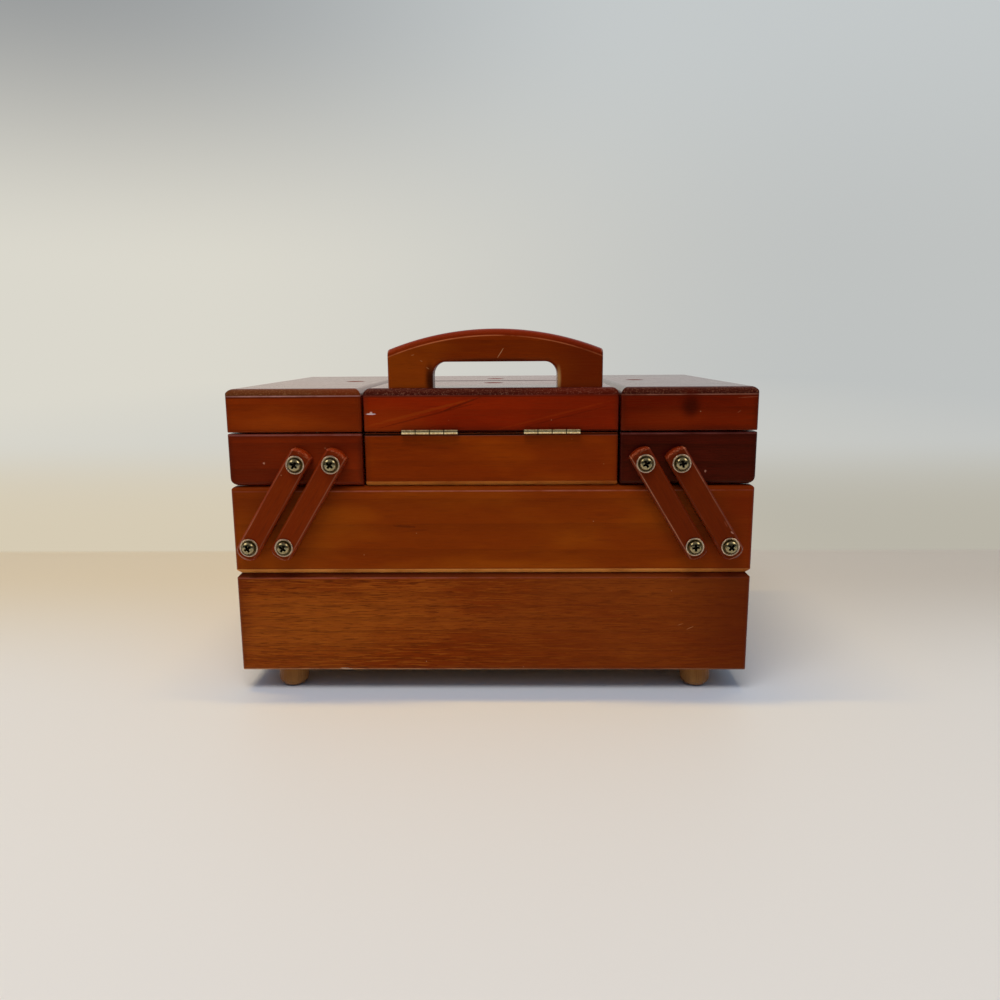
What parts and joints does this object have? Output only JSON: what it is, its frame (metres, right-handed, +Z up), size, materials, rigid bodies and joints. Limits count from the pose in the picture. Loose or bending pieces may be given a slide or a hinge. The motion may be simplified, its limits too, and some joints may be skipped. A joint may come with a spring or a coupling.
{
  "type": "sewing box",
  "caption": "Wooden accordion sewing box: lidded side trays swing out on parallel arms over a deep well, beside a fixed centre box with flap lids and an arched carrying handle.",
  "frame": {"origin": "on the floor, under the middle of the box", "axes": "+X to the right seen from the handle side, +Y to the back, +Z up"},
  "size_m": [0.3638, 0.2562, 0.2526],
  "materials": {
    "base_wood": "satin varnished red-brown stained pine",
    "middle_wood": "satin varnished red-brown stained pine",
    "centre_wood": "satin varnished red-brown stained pine",
    "left_tray_wood": "satin varnished dark red stained pine",
    "right_tray_wood": "satin varnished dark red stained pine",
    "left_lid_wood": "satin varnished red-brown stained pine",
    "right_lid_wood": "satin varnished red-brown stained pine",
    "centre_lid_wood": "satin varnished red-brown stained pine",
    "arm_wood": "satin varnished dark red stained pine",
    "handle_wood": "satin varnished red-brown stained pine",
    "foot_wood": "matt turned pine",
    "plywood": "plain plywood",
    "hinge_brass": "polished",
    "screw_metal": "pale brass plated steel",
    "washer_metal": "pale brass plated steel"
  },
  "bodies": {
    "box": {"base_front_board": "base_wood", "middle_front_board": "middle_wood", "base_rear_board": "base_wood", "middle_rear_board": "middle_wood", "base_left_board": "base_wood", "middle_left_board": "middle_wood", "base_right_board": "base_wood", "middle_right_board": "middle_wood", "base_panel": "plywood", "centre_front_board": "centre_wood", "centre_rear_board": "centre_wood", "centre_left_board": "centre_wood", "centre_right_board": "centre_wood", "centre_panel": "plywood", "feet": "foot_wood", "lower_pivot_screws": "screw_metal", "lower_pivot_washers": "washer_metal", "centre_hinge_leaves": "hinge_brass", "centre_hinge_pins": "hinge_brass"},
    "front_lid": {"front_lid_rails": "centre_lid_wood", "front_lid_top": "centre_lid_wood", "front_lid_hinge_leaves": "hinge_brass", "handle": "handle_wood", "handle_screws": "screw_metal"},
    "rear_lid": {"rear_lid_rails": "centre_lid_wood", "rear_lid_top": "centre_lid_wood", "rear_lid_hinge_leaves": "hinge_brass"},
    "left_outer_arms": {"left_outer_front_arm": "arm_wood", "left_outer_rear_arm": "arm_wood"},
    "left_inner_arms": {"left_inner_front_arm": "arm_wood", "left_inner_rear_arm": "arm_wood"},
    "left_tray": {"left_tray_front_board": "left_tray_wood", "left_tray_rear_board": "left_tray_wood", "left_tray_left_board": "left_tray_wood", "left_tray_right_board": "left_tray_wood", "left_tray_panel": "plywood", "left_tray_pivot_screws": "screw_metal", "left_tray_pivot_washers": "washer_metal", "left_tray_hinge_leaves": "hinge_brass", "left_tray_hinge_pins": "hinge_brass"},
    "left_lid": {"left_lid_rails": "left_lid_wood", "left_lid_top": "left_lid_wood", "left_lid_hinge_leaves": "hinge_brass"},
    "right_outer_arms": {"right_outer_front_arm": "arm_wood", "right_outer_rear_arm": "arm_wood"},
    "right_inner_arms": {"right_inner_front_arm": "arm_wood", "right_inner_rear_arm": "arm_wood"},
    "right_tray": {"right_tray_front_board": "right_tray_wood", "right_tray_rear_board": "right_tray_wood", "right_tray_left_board": "right_tray_wood", "right_tray_right_board": "right_tray_wood", "right_tray_panel": "plywood", "right_tray_pivot_screws": "screw_metal", "right_tray_pivot_washers": "washer_metal", "right_tray_hinge_leaves": "hinge_brass", "right_tray_hinge_pins": "hinge_brass"},
    "right_lid": {"right_lid_rails": "right_lid_wood", "right_lid_top": "right_lid_wood", "right_lid_hinge_leaves": "hinge_brass"}
  },
  "joints": [
    {"name": "front_lid_hinge", "type": "hinge", "parent": "box", "child": "front_lid", "pos_m": [0, -0.1171, 0.1849], "axis": [1, 0, 0], "range_deg": [0, 180]},
    {"name": "rear_lid_hinge", "type": "hinge", "parent": "box", "child": "rear_lid", "pos_m": [0, 0.1171, 0.1849], "axis": [-1, 0, 0], "range_deg": [0, 180]},
    {"name": "left_outer_swing", "type": "hinge", "parent": "box", "child": "left_outer_arms", "pos_m": [-0.1649, 0, 0.1074], "axis": [0, -1, 0], "range_deg": [0, 62.5]},
    {"name": "left_inner_swing", "type": "hinge", "parent": "box", "child": "left_inner_arms", "pos_m": [-0.1411, 0, 0.1074], "axis": [0, -1, 0], "range_deg": [0, 62.5]},
    {"name": "left_tray_level", "type": "hinge", "parent": "left_outer_arms", "child": "left_tray", "pos_m": [-0.1305, 0, 0.1641], "axis": [0, -1, 0], "range_deg": [-62.5, 0]},
    {"name": "left_lid_hinge", "type": "hinge", "parent": "left_tray", "child": "left_lid", "pos_m": [-0.1801, 0, 0.1849], "axis": [0, -1, 0], "range_deg": [0, 180]},
    {"name": "right_outer_swing", "type": "hinge", "parent": "box", "child": "right_outer_arms", "pos_m": [0.1607, 0, 0.1074], "axis": [0, 1, 0], "range_deg": [0, 62.5]},
    {"name": "right_inner_swing", "type": "hinge", "parent": "box", "child": "right_inner_arms", "pos_m": [0.1369, 0, 0.1074], "axis": [0, 1, 0], "range_deg": [0, 62.5]},
    {"name": "right_tray_level", "type": "hinge", "parent": "right_outer_arms", "child": "right_tray", "pos_m": [0.1263, 0, 0.1641], "axis": [0, 1, 0], "range_deg": [-62.5, 0]},
    {"name": "right_lid_hinge", "type": "hinge", "parent": "right_tray", "child": "right_lid", "pos_m": [0.1801, 0, 0.1849], "axis": [0, 1, 0], "range_deg": [0, 180]}
  ],
  "couplings": [
    {"joint": "left_inner_swing", "follows": "left_outer_swing", "ratio": 1},
    {"joint": "left_tray_level", "follows": "left_outer_swing", "ratio": -1},
    {"joint": "right_inner_swing", "follows": "right_outer_swing", "ratio": 1},
    {"joint": "right_tray_level", "follows": "right_outer_swing", "ratio": -1}
  ]
}
